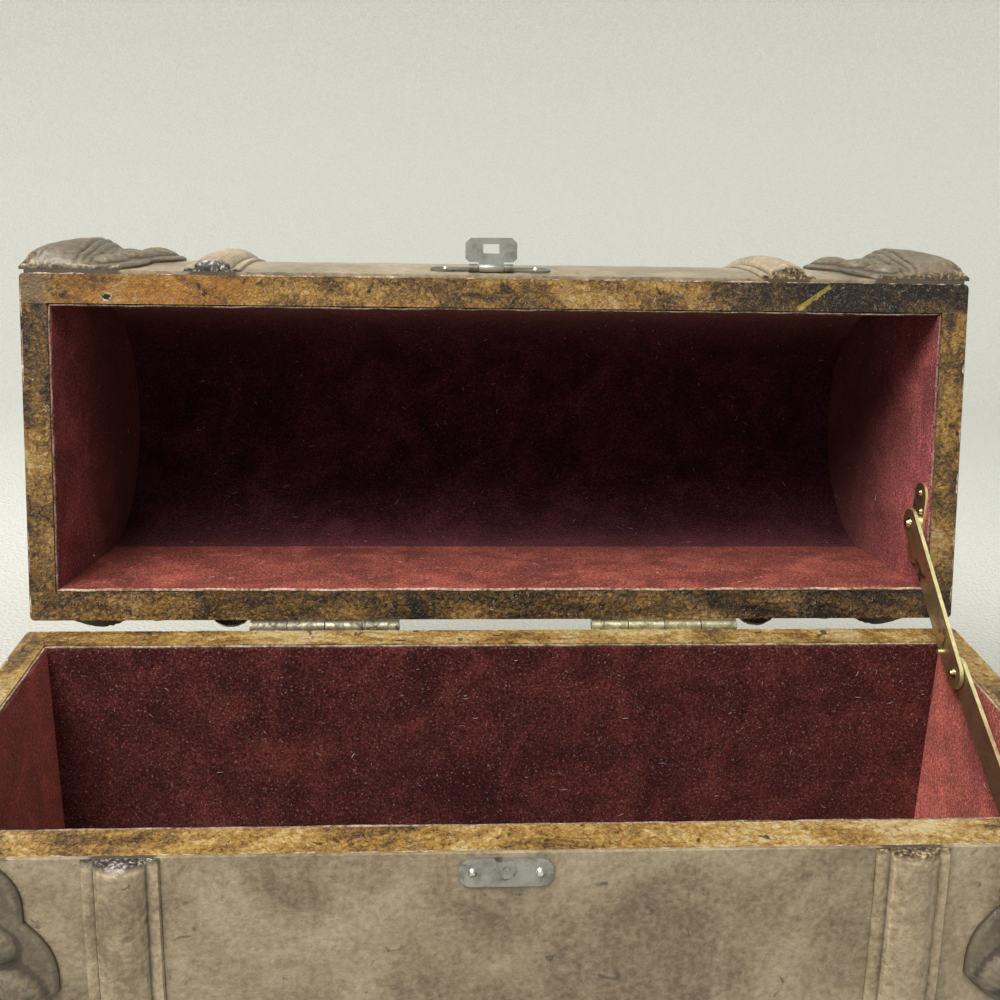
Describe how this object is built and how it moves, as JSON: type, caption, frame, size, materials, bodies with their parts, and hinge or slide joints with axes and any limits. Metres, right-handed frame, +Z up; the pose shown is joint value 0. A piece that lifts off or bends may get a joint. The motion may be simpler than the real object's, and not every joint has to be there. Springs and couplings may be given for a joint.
{
  "type": "keepsake box",
  "caption": "Barrel-topped chest-style keepsake box with velvet lining, relief mounts and straps, hinged lid on a folding stay, and a front hasp.",
  "frame": {"origin": "centre of the body's base underside", "axes": "+X along the box to the right, +Y to the hinged back, +Z up"},
  "size_m": [0.3, 0.2461, 0.2508],
  "materials": {
    "board": "mottled amber and dark brown lacquer over wood, glossy",
    "cover": "embossed brown lacquered cover, satin",
    "relief": "moulded relief, dark brown lacquer with rubbed highlights",
    "velvet": "burgundy velvet on card",
    "brass": "thin pressed brass",
    "pewter": "antiqued steel",
    "steel": "dull zinc-plated steel"
  },
  "bodies": {
    "chest": {"body_back_board": "board", "body_back_cover": "cover", "body_back_lining": "velvet", "body_floor_board": "board", "body_floor_lining": "velvet", "body_front_board": "board", "body_front_cover": "cover", "body_front_lining": "velvet", "body_hinge_screws": "pewter", "body_left_board": "board", "body_left_lining": "velvet", "body_mount_back_left": "relief", "body_mount_back_right": "relief", "body_mount_front_left": "relief", "body_mount_front_right": "relief", "body_right_board": "board", "body_right_lining": "velvet", "body_strap_left": "relief", "body_strap_right": "relief", "hinge_left_body_leaf": "pewter", "hinge_left_pin": "pewter", "hinge_right_body_leaf": "pewter", "hinge_right_pin": "pewter", "staple": "steel", "staple_nails": "steel", "stay_body_bracket": "brass", "stay_body_bracket_nails": "brass", "stay_body_rivet": "brass"},
    "lid": {"hasp_nails": "steel", "hasp_pin": "steel", "hasp_plate": "steel", "hinge_left_lid_leaf": "pewter", "hinge_right_lid_leaf": "pewter", "lid_back_board": "board", "lid_back_lining": "velvet", "lid_cover": "cover", "lid_crown": "board", "lid_crown_lining": "velvet", "lid_front_board": "board", "lid_front_lining": "velvet", "lid_hinge_screws": "pewter", "lid_left_board": "board", "lid_left_lining": "velvet", "lid_mount_back_left": "relief", "lid_mount_back_right": "relief", "lid_mount_front_left": "relief", "lid_mount_front_right": "relief", "lid_right_board": "board", "lid_right_lining": "velvet", "lid_strap_left": "relief", "lid_strap_right": "relief", "stay_lid_bracket": "brass", "stay_lid_bracket_nails": "brass", "stay_lid_rivet": "brass"},
    "hasp_flap": {"hasp_flap": "steel"},
    "stay_upper": {"stay_upper_arm": "brass", "elbow_rivet_head": "brass"},
    "stay_lower": {"stay_lower_arm": "brass", "elbow_rivet_tail": "brass"}
  },
  "joints": [
    {"name": "lid_hinge", "type": "hinge", "parent": "chest", "child": "lid", "pos_m": [0, 0.0573, 0.12815], "axis": [1, 0, 0], "range_deg": [0, 100.2]},
    {"name": "stay_upper_pivot", "type": "hinge", "parent": "lid", "child": "stay_upper", "pos_m": [0.1367, 0.06866, 0.15994], "axis": [1, 0, 0], "range_deg": [-152.43, 0]},
    {"name": "stay_lower_pivot", "type": "hinge", "parent": "chest", "child": "stay_lower", "pos_m": [0.1382, -0.01337, 0.10535], "axis": [1, 0, 0], "range_deg": [0, 78.76]},
    {"name": "hasp_hinge", "type": "hinge", "parent": "lid", "child": "hasp_flap", "pos_m": [-0.004, 0.08164, 0.24128], "axis": [1, 0, 0], "range_deg": [-70, 90]}
  ],
  "couplings": [
    {"joint": "stay_upper_pivot", "follows": "lid_hinge", "ratio": -1.5202},
    {"joint": "stay_lower_pivot", "follows": "lid_hinge", "ratio": 0.78504}
  ]
}
